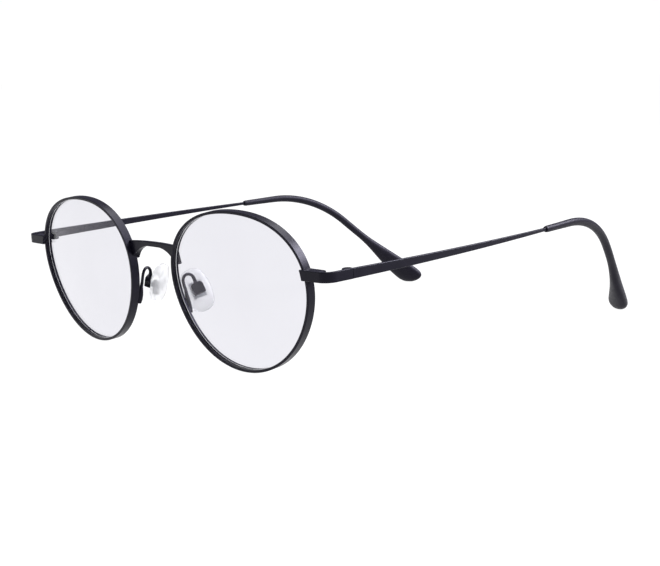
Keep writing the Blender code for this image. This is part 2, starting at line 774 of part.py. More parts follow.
def make_nose_pads():
    """A soft D-shaped pad from a subdivided cage, hollowed for its insert."""
    bm = bmesh.new()
    bmesh.ops.create_cube(bm, size=1.0)
    bmesh.ops.subdivide_edges(bm, edges=bm.edges, cuts=1, use_grid_fill=True)
    bmesh.ops.scale(bm, vec=(PAD_WIDTH * 1.06, PAD_THICK * 1.06, PAD_LENGTH * 1.06), verts=bm.verts)
    for vert in bm.verts:
        if abs(vert.co.x) > PAD_WIDTH * 0.4 and abs(vert.co.z) > PAD_LENGTH * 0.4:
            vert.co.x *= 0.84
            vert.co.z *= 0.84
        if vert.co.y < 0.0:
            vert.co.x *= 0.86
            vert.co.z *= 0.9
    bmesh.ops.transform(bm, matrix=pad_matrix(), verts=bm.verts)
    pad = add_object("nose_pad", bm)
    subdivision = pad.modifiers.new("Subdivision", "SUBSURF")
    subdivision.levels = 2
    subdivision.render_levels = 2
    apply_modifiers(pad)
    plate = pad_box_object("plate_hollow", [size + 2.0 * GAP for size in PLATE_SIZE], 0.0)
    boolean(pad, plate, "DIFFERENCE")
    stem = pad_box_object("stem_hollow", (STEM_SIZE[1] + 2 * GAP, STEM_SIZE[0] + 2 * GAP, 4.0), -2.0)
    boolean(pad, stem, "DIFFERENCE")
    finish_pair(pad, "nose_pad", SILICONE, PAD_PIVOTS)

    insert = pad_box_object("pad_insert", PLATE_SIZE, 0.0)
    back = PAD_THICK / 2.0 + BOX_GAP + BOX_SIZE[2] - 0.55
    post = pad_box_object("stem", (STEM_SIZE[1], STEM_SIZE[0], back), -back / 2.0)
    boolean(insert, post, "UNION")
    _, width, _ = pad_axes()
    hole = rod("pin_hole", pad_box_centre(), width, PAD_PIN_R + PAD_PIN_CLEAR, 6.0, segments=16)
    boolean(insert, hole, "DIFFERENCE")
    finish_pair(insert, "pad_insert", INSERT_PLASTIC, PAD_PIVOTS)


def make_pad_boxes():
    """The crowned metal box behind each pad, slotted for the stem, and its cross screw."""
    bm = bmesh.new()
    bmesh.ops.create_cube(bm, size=1.0)
    bmesh.ops.scale(bm, vec=(BOX_SIZE[0], BOX_SIZE[2], BOX_SIZE[1]), verts=bm.verts)
    crown = [edge for edge in bm.edges if all(vert.co.z > 0.0 for vert in edge.verts)
             and edge.verts[0].co.y * edge.verts[1].co.y < 0.0]
    bmesh.ops.bevel(bm, geom=crown, offset=BOX_CROWN, segments=4, profile=0.5, affect="EDGES")
    bmesh.ops.transform(bm, matrix=pad_matrix(BOX_OFFSET), verts=bm.verts)
    case = add_object("pad_box", bm)
    bevel(case, 0.15)
    apply_modifiers(case)
    slot_size = (STEM_SIZE[1] + 0.14, STEM_SIZE[0] + STEM_PLAY, BOX_SIZE[2])
    slot = pad_box_object("stem_slot", slot_size, BOX_OFFSET + 0.42)
    boolean(case, slot, "DIFFERENCE")
    _, width, _ = pad_axes()
    hole = rod("pin_hole", pad_box_centre(), width, PAD_PIN_R + 0.03, 6.0, segments=16)
    boolean(case, hole, "DIFFERENCE")
    sink = rod("head_sink", pad_box_centre() + width * (BOX_SIZE[0] / 2.0), width, 0.62, 0.5, segments=16)
    boolean(case, sink, "DIFFERENCE")
    finish_pair(case, "pad_box", METAL)

    foot = pad_box_centre() - width * (BOX_SIZE[0] / 2.0 - 0.05)
    shank = BOX_SIZE[0] - 0.05 - 0.25 + GAP
    screw = slotted_screw("pad_screw", foot, width, PAD_PIN_R, shank, 0.56, 0.26, 0.18)
    finish_pair(screw, "pad_screw", FITTING)


def make_pad_arms():
    """A looped wire: flattened foot on the rim's back, up over the loop and down to the pad box."""
    length, width, face = pad_axes()
    into_box = pad_box_centre() + length * (BOX_SIZE[1] / 2.0 - 0.15) - face * 0.1
    points = [Vector((11.85, 1.65, -8.3)), Vector((11.45, 1.75, -7.3)), Vector((11.05, 1.8, -6.1)),
              Vector((10.75, 1.8, -4.9)), Vector((10.4, 1.8, -3.6)), Vector((10.0, 1.85, -2.4)),
              Vector((9.5, 1.8, -1.0)), Vector((9.2, 1.9, 0.1)), Vector((9.2, 2.45, 1.0)),
              Vector((9.45, 3.35, 1.35)), Vector((9.75, 4.25, 1.0)), Vector((10.0, 4.8, 0.1)), into_box]
    radii = [1.3, 1.6, 1.6, 1.45, 1.1, 1.0, 0.95, 0.95, 0.95, 0.95, 0.95, 1.05, 1.25]
    fine_points, fine_radii = smooth_route(points, radii, 3)
    curve = bpy.data.curves.new("pad_arm", "CURVE")
    curve.dimensions = "3D"
    curve.bevel_depth = ARM_R * MM
    curve.bevel_resolution = 2
    curve.use_fill_caps = True
    spline = curve.splines.new("POLY")
    spline.points.add(len(fine_points) - 1)
    for point, place, radius in zip(spline.points, fine_points, fine_radii):
        point.co = (*(place * MM), 1.0)
        point.radius = radius
    guide = bpy.data.objects.new("pad_arm_route", curve)
    PARTS.objects.link(guide)
    arm = mesh_from_curve(guide, "pad_arm")
    boolean(arm, rim_clearance(GAP, 0.3), "DIFFERENCE")
    clear_size = [size + 2.0 * GAP for size in BOX_SIZE]
    boolean(arm, pad_box_object("box_clearance", clear_size, BOX_OFFSET), "DIFFERENCE")
    finish_pair(arm, "pad_arm", METAL)


def smooth_route(points, values, cuts):
    """Points and values read from a smooth curve through a route's own points."""
    fine_points = []
    fine_values = []
    for i in range(len(points) - 1):
        p0 = points[max(i - 1, 0)]
        p1 = points[i]
        p2 = points[i + 1]
        p3 = points[min(i + 2, len(points) - 1)]
        for k in range(cuts):
            t = k / cuts
            linear = 2.0 * p1 + (p2 - p0) * t
            squared = (2.0 * p0 - 5.0 * p1 + 4.0 * p2 - p3) * t ** 2
            cubed = (3.0 * p1 - p0 - 3.0 * p2 + p3) * t ** 3
            fine_points.append(0.5 * (linear + squared + cubed))
            fine_values.append(values[i] + (values[i + 1] - values[i]) * t)
    return fine_points + [points[-1]], fine_values + [values[-1]]


# ---- assembly --------------------------------------------------------------------------------

def make_empty(name, place, parent=None):
    empty = bpy.data.objects.new(name, None)
    empty.empty_display_size = 0.005
    empty.location = Vector(place) * MM
    empty.parent = parent
    PARTS.objects.link(empty)
    return empty


def make_pivots(name, place):
    """A pair of empties on the left and right joint axes."""
    x, y, z = place
    return {side: make_empty(f"{name}_{side}", (sign * x, y, z), STAND)
            for side, sign in (("left", 1.0), ("right", -1.0))}


def settle_on_ground():
    """Tip the stand so rims and tips touch Z = 0, then centre the bounding box over the origin."""
    points = []
    for ob in PARTS.objects:
        if ob.type == "MESH":
            offset = ob.parent.location if ob.parent is not STAND else Vector()
            points.extend(vert.co + offset for vert in ob.data.vertices)
    front = [p for p in points if p.y < 10.0 * MM]
    rear = [p for p in points if p.y > 100.0 * MM]
    angle = 0.0
    for _ in range(20):
        turn = Matrix.Rotation(angle, 3, "X")
        low_front = min((turn @ p for p in front), key=lambda p: p.z)
        low_rear = min((turn @ p for p in rear), key=lambda p: p.z)
        angle += math.atan2(low_front.z - low_rear.z, low_rear.y - low_front.y)
    turn = Matrix.Rotation(angle, 3, "X")
    turned_points = [turn @ p for p in points]
    low = min(p.z for p in turned_points)
    middle = (min(p.y for p in turned_points) + max(p.y for p in turned_points)) / 2.0
    STAND.rotation_euler = (angle, 0.0, 0.0)
    STAND.location = (0.0, -middle, -low)


clear_scene()
PARTS = make_collection(OBJECT_NAME)
CUTTERS = make_collection(OBJECT_NAME + "_cutters")
STAND = make_empty("stand", (0.0, 0.0, 0.0))
TEMPLE_PIVOTS = make_pivots("temple_pivot", (*hinge_axis(), 0.0))
PAD_PIVOTS = make_pivots("nose_pad_pivot", pad_box_centre())
make_rims()
make_lenses()
make_bridge()
make_end_pieces()
make_rim_locks()
make_hinges()
make_pad_arms()
make_pad_boxes()
make_nose_pads()
make_temple_bars()
make_temple_tips()
settle_on_ground()
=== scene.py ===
"""Round wire eyeglasses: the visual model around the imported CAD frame.

Every piece is drawn in the wearing frame, in millimetres (X to the wearer's left, Y back along the
temples, Z up, lens centres at Z = 0), on the same dimensions as the CAD. WORLD then sets it on the
stand's tilt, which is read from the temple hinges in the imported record. Left pieces are modelled once
and mirrored.
"""

import json
import math

import bmesh
import bpy
from mathutils import Matrix, Vector


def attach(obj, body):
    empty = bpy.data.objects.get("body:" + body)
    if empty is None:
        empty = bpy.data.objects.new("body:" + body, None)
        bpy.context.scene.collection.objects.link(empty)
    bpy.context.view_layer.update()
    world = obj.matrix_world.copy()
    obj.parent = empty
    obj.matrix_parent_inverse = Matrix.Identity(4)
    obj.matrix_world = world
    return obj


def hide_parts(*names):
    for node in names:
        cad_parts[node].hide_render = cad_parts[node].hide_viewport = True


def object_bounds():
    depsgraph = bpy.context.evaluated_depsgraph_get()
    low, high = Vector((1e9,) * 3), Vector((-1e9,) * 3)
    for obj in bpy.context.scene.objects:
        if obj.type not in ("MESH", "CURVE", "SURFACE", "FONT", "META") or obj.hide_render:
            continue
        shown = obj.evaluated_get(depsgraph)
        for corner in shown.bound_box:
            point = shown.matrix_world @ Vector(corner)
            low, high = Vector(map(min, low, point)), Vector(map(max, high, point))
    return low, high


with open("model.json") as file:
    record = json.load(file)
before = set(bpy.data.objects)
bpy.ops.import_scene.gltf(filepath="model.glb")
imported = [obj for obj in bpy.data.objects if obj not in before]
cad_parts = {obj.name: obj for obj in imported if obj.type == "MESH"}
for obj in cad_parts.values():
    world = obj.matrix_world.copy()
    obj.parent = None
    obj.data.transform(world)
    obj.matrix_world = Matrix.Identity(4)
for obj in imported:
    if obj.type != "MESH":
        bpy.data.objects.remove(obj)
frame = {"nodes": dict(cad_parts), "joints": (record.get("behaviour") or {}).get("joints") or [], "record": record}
CAD_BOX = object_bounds()

MM = 0.001

# Rim outline, section and placing
RIM_A = 24.75
RIM_B = 20.7
HARMONIC_COS3 = 0.005
HARMONIC_SIN3 = 0.034
HARMONIC_COS4 = -0.006
RIM_STEPS = 288
RIM_DEPTH = 2.4
RIM_FACE = 0.72
RIM_GROOVE = 0.3
RIM_ROUND = 0.13
RIM_LIP = 0.07
RIM_CENTRE_X = 33.64
WRAP_DEG = 4.2
PANTO_DEG = 3.8
SLIT = 0.16
SLIT_Z = 5.6
CLEAR_BEFORE = 4.0
CLEAR_BEHIND = 4.0
CLEAR_BEHIND_ARM = 0.3

# Lenses
LENS_FIT = 0.05
LENS_THICK = 0.7
LENS_BULGE = 1.3

# Bridge
BRIDGE_HALF = 10.35
BRIDGE_TOP_Z = 9.62
BRIDGE_HEIGHT = 1.3
BRIDGE_FOOT_HEIGHT = 4.7
BRIDGE_FLARE_START = 2.2
BRIDGE_DEPTH = 1.4
BRIDGE_BOW = 0.9
BRIDGE_EDGE = 0.22
BRIDGE_OVERRUN = 0.6
BRIDGE_SAG = 0.28
BRIDGE_FOOT_IN = 1.05
BRIDGE_FLARE_LIMIT = 1.05
BRIDGE_TOP_THIN = 0.75
BRIDGE_FOOT_DEEP = 1.1

# End piece and hinge
BAR_THICK = 0.9
END_HEIGHT = 2.6
END_INNER_X = 55.5
END_FRONT_Y = 0.4
END_Z = 5.74
END_BEND_R = 3.3
END_BEND_DEG = 86.0
END_EDGE = 0.2
END_ROUND = 0.12
SEAM_S = 2.6
SEAM_GAP = 0.06
HINGE_INSET = 1.62
HINGE_SET_BACK = 0.25

# Nose pads and their arms
PAD_CENTRE = (8.8, 6.5, -3.4)
PAD_AXIS = (-0.43, -0.11, 0.90)
PAD_FACE = (-0.90, 0.42, 0.0)
PAD_LENGTH = 11.9
PAD_WIDTH = 7.6
PAD_THICK = 3.0
PLATE_SIZE = (3.4, 4.4, 0.7)
BOX_SIZE = (3.2, 3.1, 1.9)
BOX_OFFSET = -(PAD_THICK / 2.0 + BOX_SIZE[2] / 2.0 + 0.25)
STEM_SIZE = (1.7, 1.3)
STEM_LENGTH = 4.0
CAGE_GROW = 1.06
CAGE_CORNER = 0.84
CAGE_BACK = (0.86, 0.9)
ARM_R = 0.42

# Temples: the three TURN values and the LIFT are in degrees per 100 mm
TEMPLE_START = (66.75, 6.1, 5.82)
TEMPLE_OUT_DEG = 3.15
TEMPLE_RISE_DEG = 0.2
TEMPLE_TURN = 13.0
TEMPLE_END_TURN = 38.3
EAR_S = 87.45
EAR_R = 37.95
EAR_DEG = 43.35
TAIL = 33.5
TAIL_TURN = -3.9
TAIL_LIFT = 8.1
TIP_S = 75.6
BAR_RUN_ON = 1.2
BAR_EDGE = 0.19
BAR_HEIGHT = (2.6, 0.88)
BAR_THICK_END = 0.8
CORE_R = 0.4
CORE_LENGTH = 52.0
CORE_PLAY = 0.09
CORE_EASE = 0.3
SLEEVE_R = (0.92, 1.18)
SLEEVE_THICKEN = 0.35
MOUTH_START = 0.80
MOUTH_SHARE = 0.012
MOUTH_PLAY = 0.14
MOUTH_DEPTH = 3.0
COLLAR = (0.0175, 0.0018, 0.055)
PADDLE_SIZE = (7.76, 4.73)
PADDLE_TWIST_DEG = 37.3
PADDLE_SPREAD = (0.645, 0.355)
PADDLE_BLUNT = 0.944
PADDLE_CORNER = 2.6
PADDLE_CLOSE = 0.996
PADDLE_LEAN = 0.6
PADDLE_SLANT = -0.47
GAP = 0.05

# Small fittings: how far the edges of each CAD mesh are rounded, and how it is cleaned first
ROUNDING = {
    "rim_lock_upper": 0.06, "rim_lock_lower": 0.06, "rim_lock_screw": 0.03,
    "hinge_front": 0.05, "hinge_rear": 0.05, "hinge_screw": 0.04,
    "pad_box": 0.06, "pad_screw": 0.03, "pad_insert": 0.08,
}
WELD = 0.0005
FLAT_DEG = 1.5


# ---- temple path ---------------------------------------------------------------------------------

def temple_turn(distance):
    """Inward and downward angles of the temple at a distance along it, in radians."""
    arc = EAR_R * math.radians(EAR_DEG)
    past_ear = max(distance - EAR_S, 0.0)
    past_bend = max(past_ear - arc, 0.0)
    turn = TEMPLE_TURN * distance + TEMPLE_END_TURN * past_ear + TAIL_TURN * past_bend
    inward = -TEMPLE_OUT_DEG + turn / 100.0
    down = -TEMPLE_RISE_DEG + EAR_DEG * min(past_ear / arc, 1.0) - TAIL_LIFT * past_bend / 100.0
    return math.radians(inward), math.radians(down)


def direction_of(inward, down):
    return Vector((-math.sin(inward) * math.cos(down), math.cos(inward) * math.cos(down), -math.sin(down)))


def temple_axes(distance):
    """Origin on the outer face, and unit vectors along, inward (across) and up at a distance."""
    position = Vector(TEMPLE_START)
    steps = max(1, int(math.ceil(abs(distance) / 0.5)))
    step = distance / steps
    for k in range(steps):
        inward, down = temple_turn((k + 0.5) * step)
        position += direction_of(inward, down) * step
    inward, down = temple_turn(distance)
    along = direction_of(inward, down)
    across = Vector((-math.cos(inward), -math.sin(inward), 0.0))
    up = along.cross(across) * -1.0
    return position, along, across, up


def temple_length():
    return EAR_S + EAR_R * math.radians(EAR_DEG) + TAIL


# ---- the frame: where each node belongs ----------------------------------------------------------

def stand_matrix():
    """The stand's tilt and place, from the left temple hinge's point and axis in the record."""
    joint = next(j for j in frame["joints"] if j["name"] == "temple_left_hinge")
    axis = Vector(joint["axis"]).normalized()
    point = Vector(joint["pos_m"])
    seam, _, across, _ = temple_axes(SEAM_S)
    hinge_y = seam.y + across.y * (BAR_THICK + HINGE_INSET) + HINGE_SET_BACK
    tilt = Matrix.Rotation(math.atan2(-axis.y, axis.z), 4, "X")
    drawn = Vector((point.x, hinge_y * MM, 0.0))
    return Matrix.Translation(point) @ tilt @ Matrix.Translation(-drawn)


STAND = stand_matrix()
WORLD = STAND @ Matrix.Diagonal((MM, MM, MM, 1.0))
SLOT_OF = {row["node"]: row["material_slot"] for row in frame["record"]["subparts"]}
BODY_OF = {node: body for body, nodes in frame["record"]["behaviour"]["bodies"].items() for node in nodes}


# ---- materials -----------------------------------------------------------------------------------

COOL_GLOSS = (0.84, 0.82, 1.0, 1.0)
VIOLET_COATING = (0.34, 0.30, 0.44, 1.0)


class Nodes:
    """A Principled material and the short calls that add procedural detail to it."""

    def __init__(self, name, **sockets):
        self.material = bpy.data.materials.new(name)
        self.material.use_nodes = True
        self.tree = self.material.node_tree
        self.shader = self.tree.nodes["Principled BSDF"]
        for key, value in sockets.items():
            self.shader.inputs[key.replace("_", " ")].default_value = value
        self.coords = self.tree.nodes.new("ShaderNodeTexCoord").outputs["Object"]

    def noise(self, scale, detail=3.0, roughness=0.55, stretch=(1.0, 1.0, 1.0)):
        mapping = self.tree.nodes.new("ShaderNodeMapping")
        mapping.inputs["Scale"].default_value = stretch
        self.tree.links.new(self.coords, mapping.inputs["Vector"])
        noise = self.tree.nodes.new("ShaderNodeTexNoise")
        noise.inputs["Scale"].default_value = scale
        noise.inputs["Detail"].default_value = detail
        noise.inputs["Roughness"].default_value = roughness
        self.tree.links.new(mapping.outputs["Vector"], noise.inputs["Vector"])
        return noise.outputs["Fac"]

    def ramp(self, source, first, last, low=0.3, high=0.7):
        """Map a value between two positions to colours or grey levels."""
        ramp = self.tree.nodes.new("ShaderNodeValToRGB")
        for element, position, value in zip(ramp.color_ramp.elements, (low, high), (first, last)):
            element.position = position
            element.color = (*value, 1.0) if isinstance(value, tuple) else (value, value, value, 1.0)
        self.tree.links.new(source, ramp.inputs["Fac"])
        return ramp.outputs["Color"]

    def mix(self, factor, first, second):
        mix = self.tree.nodes.new("ShaderNodeMix")
        mix.data_type = "RGBA"
        self.tree.links.new(factor, mix.inputs["Factor"])
        self.tree.links.new(first, mix.inputs["A"])
        mix.inputs["B"].default_value = (*second, 1.0)
        return mix.outputs["Result"]

    def bump(self, source, strength, distance):
        bump = self.tree.nodes.new("ShaderNodeBump")
        bump.inputs["Strength"].default_value = strength
        bump.inputs["Distance"].default_value = distance
        self.tree.links.new(source, bump.inputs["Height"])
        self.tree.links.new(bump.outputs["Normal"], self.shader.inputs["Normal"])

    def feed(self, socket, source):
        self.tree.links.new(source, self.shader.inputs[socket])


def frame_metal():
    """Satin black paint on metal: a fine orange-peel bump, cloudy gloss and a painted highlight, lighter violet on
    the sharp convex edges.
    """
    m = Nodes("satin_black_paint", Metallic=0.0, Specular_IOR_Level=0.16, Specular_Tint=COOL_GLOSS)
    base = m.ramp(m.noise(260.0, 4.0), (0.0042, 0.0038, 0.0078), (0.0072, 0.0066, 0.0118))
    edges = m.tree.nodes.new("ShaderNodeNewGeometry").outputs["Pointiness"]
    # Painted highlight: sharp convex edges, found by Pointiness, are mixed towards a lighter violet grey
    painted_edge_highlight = m.ramp(edges, 0.0, 0.35, 0.58, 0.74)
    m.feed("Base Color", m.mix(painted_edge_highlight, base, (0.034, 0.032, 0.048)))
    m.feed("Roughness", m.ramp(m.noise(900.0, 5.0, 0.6), 0.27, 0.37, 0.25, 0.75))
    m.bump(m.noise(5200.0, 2.0), 0.10, 0.00004)
    return m.material


def screw_metal():
    """Darkened steel with turned streaks."""
    m = Nodes("dark_steel", Metallic=1.0)
    m.feed("Base Color", m.ramp(m.noise(1500.0, 3.0), (0.050, 0.048, 0.056), (0.110, 0.106, 0.120)))
    m.feed("Roughness", m.ramp(m.noise(2600.0, 2.0, 0.5, (1.0, 1.0, 6.0)), 0.24, 0.42))
    m.bump(m.noise(6000.0, 2.0, 0.5, (1.0, 1.0, 5.0)), 0.12, 0.00003)
    return m.material


def tip_plastic():
    """Moulded soft-touch plastic with a fine grain."""
    m = Nodes("matte_tip_plastic", Metallic=0.0, Specular_IOR_Level=0.16, Specular_Tint=COOL_GLOSS)
    m.feed("Base Color", m.ramp(m.noise(420.0, 4.0), (0.0062, 0.0056, 0.0095), (0.0100, 0.0092, 0.0145)))
    m.feed("Roughness", m.ramp(m.noise(1400.0, 4.0), 0.40, 0.52))
    m.bump(m.noise(7500.0, 3.0, 0.6), 0.16, 0.00004)
    return m.material


def silicone():
    """Frosted clear silicone: cloudy inside, with a faint moulding grain."""
    m = Nodes("frosted_silicone", Metallic=0.0, IOR=1.41, Transmission_Weight=0.88, Specular_IOR_Level=0.5)
    m.feed("Base Color", m.ramp(m.noise(330.0, 3.0), (0.900, 0.903, 0.912), (0.950, 0.953, 0.960)))
    m.feed("Roughness", m.ramp(m.noise(800.0, 3.0), 0.44, 0.56))
    m.bump(m.noise(2400.0, 2.0), 0.04, 0.00002)
    return m.material


def insert_plastic():
    """The clear hard plastic plate inside a pad."""
    m = Nodes("clear_insert_plastic", Metallic=0.0, IOR=1.49, Transmission_Weight=0.55)
    m.feed("Base Color", m.ramp(m.noise(600.0, 2.0), (0.50, 0.51, 0.55), (0.62, 0.63, 0.67)))
    m.feed("Roughness", m.ramp(m.noise(1200.0, 3.0), 0.16, 0.28))
    m.bump(m.noise(3000.0, 2.0), 0.05, 0.00003)
    return m.material


def lens_glass():
    """Clear lens with a faint violet coating and a trace of haze."""
    m = Nodes("coated_lens", Metallic=0.0, IOR=1.35, Transmission_Weight=1.0, Specular_Tint=VIOLET_COATING)
    m.feed("Base Color", m.ramp(m.noise(45.0, 2.0), (0.745, 0.742, 0.780), (0.765, 0.762, 0.800)))
    m.feed("Roughness", m.ramp(m.noise(120.0, 3.0), 0.0, 0.012, 0.35, 0.75))
    return m.material


MATERIALS = {
    "frame_metal": frame_metal(),
    "screw_metal": screw_metal(),
    "tip_plastic": tip_plastic(),
    "silicone": silicone(),
    "insert_plastic": insert_plastic(),
    "lens_glass": lens_glass(),
}
for node, ob in frame["nodes"].items():
    ob.data.materials.clear()
    ob.data.materials.append(MATERIALS[SLOT_OF[node]])


# ---- mesh tools ----------------------------------------------------------------------------------

def add_object(name, bm):
    """Turn a bmesh in millimetres into an object, still in the wearing frame."""
    bmesh.ops.recalc_face_normals(bm, faces=bm.faces)
    mesh = bpy.data.meshes.new(name)
    bm.to_mesh(mesh)
    bm.free()
    ob = bpy.data.objects.new(name, mesh)
    bpy.context.scene.collection.objects.link(ob)
    return ob


def apply_modifiers(ob):
    depsgraph = bpy.context.evaluated_depsgraph_get()
    mesh = bpy.data.meshes.new_from_object(ob.evaluated_get(depsgraph))
    ob.modifiers.clear()
    ob.data = mesh


def cut(ob, other):
    """Cut another object out of this one, then remove the other."""
    modifier = ob.modifiers.new("Cut", "BOOLEAN")
    modifier.operation = "DIFFERENCE"
    modifier.solver = "EXACT"
    modifier.object = other
    apply_modifiers(ob)
    bpy.data.objects.remove(other, do_unlink=True)


def bevel(ob, width, degrees=32.0):
    """Round the edges that are sharper than an angle."""
    modifier = ob.modifiers.new("Bevel", "BEVEL")
    modifier.width = width
    modifier.segments = 3
    modifier.limit_method = "ANGLE"
    modifier.angle_limit = math.radians(degrees)
    modifier.miter_outer = "MITER_ARC"
    apply_modifiers(ob)


def soften(ob, degrees):
    """Smooth shading that stops at sharp edges and leans on the larger faces."""
    ob.data.shade_smooth()
    ob.data.set_sharp_from_angle(angle=math.radians(degrees))
    modifier = ob.modifiers.new("Normals", "WEIGHTED_NORMAL")
    modifier.keep_sharp = True
    modifier.weight = 60
    apply_modifiers(ob)


def mirrored(ob, name):
    mesh = ob.data.copy()
    mesh.transform(Matrix.Scale(-1.0, 4, Vector((1.0, 0.0, 0.0))))
    mesh.flip_normals()
    other = bpy.data.objects.new(name, mesh)
    bpy.context.scene.collection.objects.link(other)
    return other


def place(ob, node, in_row_frame=False):
    """Put a finished piece in the row frame, in a CAD node's body, slot and stead."""
    if not in_row_frame:
        ob.data.transform(WORLD)
    ob.name = f"fine_{node}"
    ob.data.name = ob.name
    ob.data.materials.clear()
    ob.data.materials.append(MATERIALS[SLOT_OF[node]])
    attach(ob, BODY_OF[node])
    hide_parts(node)
    return ob


def place_pair(left, base, smooth_degrees):
    """Shade a left-hand piece, and place it and its mirror image."""
    right = mirrored(left, f"{base}_mirror")
    pair = []
    for ob, side in ((left, "left"), (right, "right")):
        soften(ob, smooth_degrees)
        pair.append(place(ob, f"{base}_{side}"))
    return pair


def skin_rings(bm, rings, close_ends=True):
    """Join rings of equal point counts into a tube."""
    rows = [[bm.verts.new(point) for point in ring] for ring in rings]
    count = len(rows[0])
    for row, following in zip(rows, rows[1:]):
        for i in range(count):
            j = (i + 1) % count
            bm.faces.new((row[i], row[j], following[j], following[i]))
    if close_ends:
        bm.faces.new(list(reversed(rows[0])))
        bm.faces.new(rows[-1])
    return rows


def rounded_rectangle(low, high, radius, steps):
    """Points of a rounded rectangle between two corners, counter-clockwise."""
    points = []
    corners = ((high[0] - radius, high[1] - radius, 0.0), (low[0] + radius, high[1] - radius, 90.0),
               (low[0] + radius, low[1] + radius, 180.0), (high[0] - radius, low[1] + radius, 270.0))
    for x, y, start in corners:
        for i in range(steps + 1):
            angle = math.radians(start + 90.0 * i / steps)
            points.append((x + radius * math.cos(angle), y + radius * math.sin(angle)))
    return points


# ---- rims and lenses -----------------------------------------------------------------------------

def rim_point(angle, inset=0.0):
    """Outline point (outward, up) in the rim's own plane, moved inward by an inset."""
    def outline(t):
        swell = (1.0 + HARMONIC_COS3 * math.cos(3.0 * t) + HARMONIC_SIN3 * math.sin(3.0 * t)
                 + HARMONIC_COS4 * math.cos(4.0 * t))
        return Vector((RIM_A * math.cos(t) * swell, RIM_B * math.sin(t) * swell))
    step = 0.001
    along = (outline(angle + step) - outline(angle - step)).normalized()
    return outline(angle) + Vector((-along.y, along.x)) * inset


def rim_matrix():
    """Place the left rim's plane (outward, depth, up) in the wearing frame."""
    wrap = Matrix.Rotation(math.radians(WRAP_DEG), 4, "Z")
    tilt = Matrix.Rotation(math.radians(PANTO_DEG), 4, "X")
    return tilt @ Matrix.Translation((RIM_CENTRE_X, 0.0, 0.0)) @ wrap


def rim_section():
    """Points (inset, depth): rounded outside corners, soft lips and the lens groove."""
    middle = RIM_DEPTH / 2.0
    steps = 4
    points = []
    for x, y, start in ((RIM_ROUND, RIM_ROUND, 270.0), (RIM_ROUND, RIM_DEPTH - RIM_ROUND, 180.0)):
        for i in range(steps + 1):
            angle = math.radians(start - 90.0 * i / steps)
            points.append((x + RIM_ROUND * math.cos(angle), y + RIM_ROUND * math.sin(angle)))
    for y, start in ((RIM_DEPTH - RIM_LIP, 90.0), (RIM_LIP, 0.0)):
        if start == 0.0:
            points += [(RIM_FACE, middle + RIM_GROOVE), (RIM_FACE - RIM_GROOVE, middle),
                       (RIM_FACE, middle - RIM_GROOVE)]
        for i in range(4):
            angle = math.radians(start - 30.0 * i)
            points.append((RIM_FACE - RIM_LIP + RIM_LIP * math.cos(angle), y + RIM_LIP * math.sin(angle)))
    return points


def slit_angle():
    """Outline angle where the rim crosses the slit's height on its temporal side."""
    low, high = 0.0, math.radians(40.0)
    for _ in range(40):
        middle = (low + high) / 2.0
        x, z = rim_point(middle)
        height = (rim_matrix() @ Vector((x, 0.0, z))).z
        low, high = (middle, high) if height < SLIT_Z else (low, middle)
    return low


def make_rims():
    """A grooved band, open at the slit on its temporal side."""
    section = rim_section()
    middle = slit_angle()
    half = SLIT / 2.0 / RIM_B
    start = middle + half
    turn = 2.0 * math.pi - 2.0 * half
    rings = []
    for k in range(RIM_STEPS + 1):
        angle = start + turn * k / RIM_STEPS
        edges = [(rim_point(angle, inset), depth) for inset, depth in section]
        rings.append([(edge.x, depth, edge.y) for edge, depth in edges])
    bm = bmesh.new()
    skin_rings(bm, rings)
    bmesh.ops.transform(bm, matrix=rim_matrix(), verts=bm.verts)
    place_pair(add_object("rim", bm), "rim", 60.0)


def make_lenses():
    """A meniscus with its edge bevelled into the rim's groove."""
    groove_inset = RIM_FACE - RIM_GROOVE + LENS_FIT * 1.5
    face_inset = RIM_FACE + LENS_FIT
    middle = RIM_DEPTH / 2.0
    half = RIM_GROOVE * 0.8
    steps = RIM_STEPS // 2

    def ring(scale, depth, inset=face_inset):
        points = []
        for k in range(steps):
            edge = rim_point(2.0 * math.pi * k / steps, inset)
            points.append((edge.x * scale, depth, edge.y * scale))
        return points

    levels = (1.0, 0.93, 0.84, 0.73, 0.6, 0.45, 0.3, 0.15)
    pole = middle - half - LENS_BULGE
    front = [ring(k, pole + LENS_BULGE * k * k) for k in reversed(levels)]
    back = [ring(k, pole + LENS_THICK + LENS_BULGE * k * k) for k in levels]
    edge = [ring(1.0, middle, groove_inset), ring(1.0, middle + half)]
    bm = bmesh.new()
    rows = skin_rings(bm, front + edge + back, close_ends=False)
    for row, depth in ((rows[0], pole), (rows[-1], pole + LENS_THICK)):
        hub = bm.verts.new((0.0, depth, 0.0))
        for i in range(steps):
            bm.faces.new((row[i], row[(i + 1) % steps], hub))
    bmesh.ops.transform(bm, matrix=rim_matrix(), verts=bm.verts)
    place_pair(add_object("lens", bm), "lens", 25.0)


def rim_clearance(behind=CLEAR_BEHIND):
    """The left rim's solid and its lens opening, to trim what is brazed to the rim's outside."""
    back = RIM_DEPTH + GAP
    steps = ((-CLEAR_BEFORE, RIM_FACE), (-GAP, RIM_FACE), (-GAP, -GAP),
             (back, -GAP), (back, RIM_FACE), (back + behind, RIM_FACE))
    rings = []
    for depth, inset in steps:
        ring = []
        for k in range(RIM_STEPS):
            edge = rim_point(2.0 * math.pi * k / RIM_STEPS, inset)
            ring.append((edge.x, depth, edge.y))
        rings.append(ring)
    bm = bmesh.new()
    skin_rings(bm, rings)
    bmesh.ops.transform(bm, matrix=rim_matrix(), verts=bm.verts)
    return add_object("rim_clearance", bm)


# ---- bridge --------------------------------------------------------------------------------------

